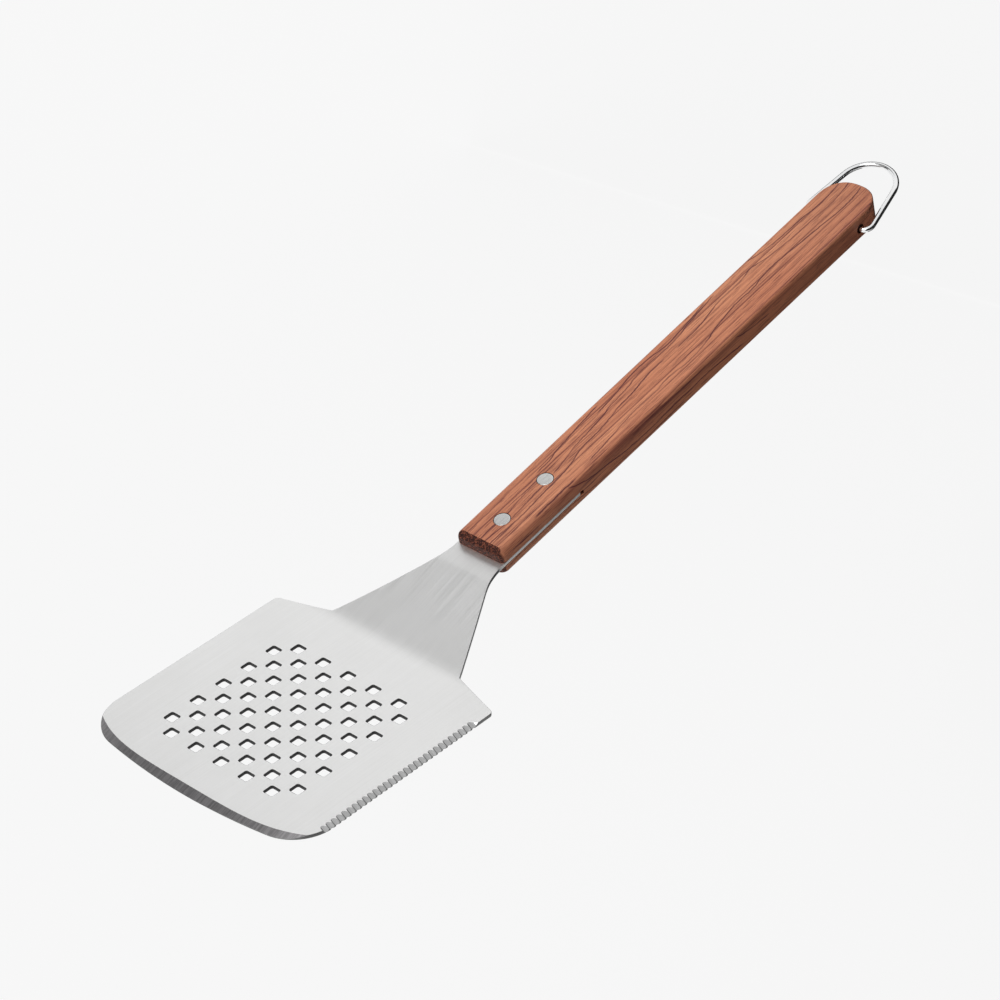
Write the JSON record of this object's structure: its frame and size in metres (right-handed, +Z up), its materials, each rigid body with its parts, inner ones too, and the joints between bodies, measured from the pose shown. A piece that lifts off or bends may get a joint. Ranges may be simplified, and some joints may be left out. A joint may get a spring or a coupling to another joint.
{
  "type": "grill spatula",
  "caption": "Long grill spatula with a perforated bent steel blade, serrated side edge, ground front edge, hardwood handle and a swinging wire hanging loop.",
  "frame": {"origin": "centre of the bounding box in X and Y, on the table surface under the resting spatula", "axes": "+X along the level handle from the blade to the hanging loop, +Y towards the blade's plain long edge (the serrated edge is on -Y), +Z up"},
  "size_m": [0.432, 0.1164, 0.0246],
  "materials": {
    "blade_steel": "finely brushed",
    "hardwood": "oiled, open grain",
    "rivet_steel": "ground flush",
    "wire": "bright plated"
  },
  "bodies": {
    "tool": {"blade": "blade_steel", "handle": "hardwood", "rivet_front": "rivet_steel", "rivet_rear": "rivet_steel"},
    "loop": {"hanging_loop": "wire"}
  },
  "joints": [
    {"name": "loop_hinge", "type": "hinge", "parent": "tool", "child": "loop", "pos_m": [0.18052, 0, 0.00615], "axis": [0, -1, 0], "range_deg": [-170, 154]}
  ]
}
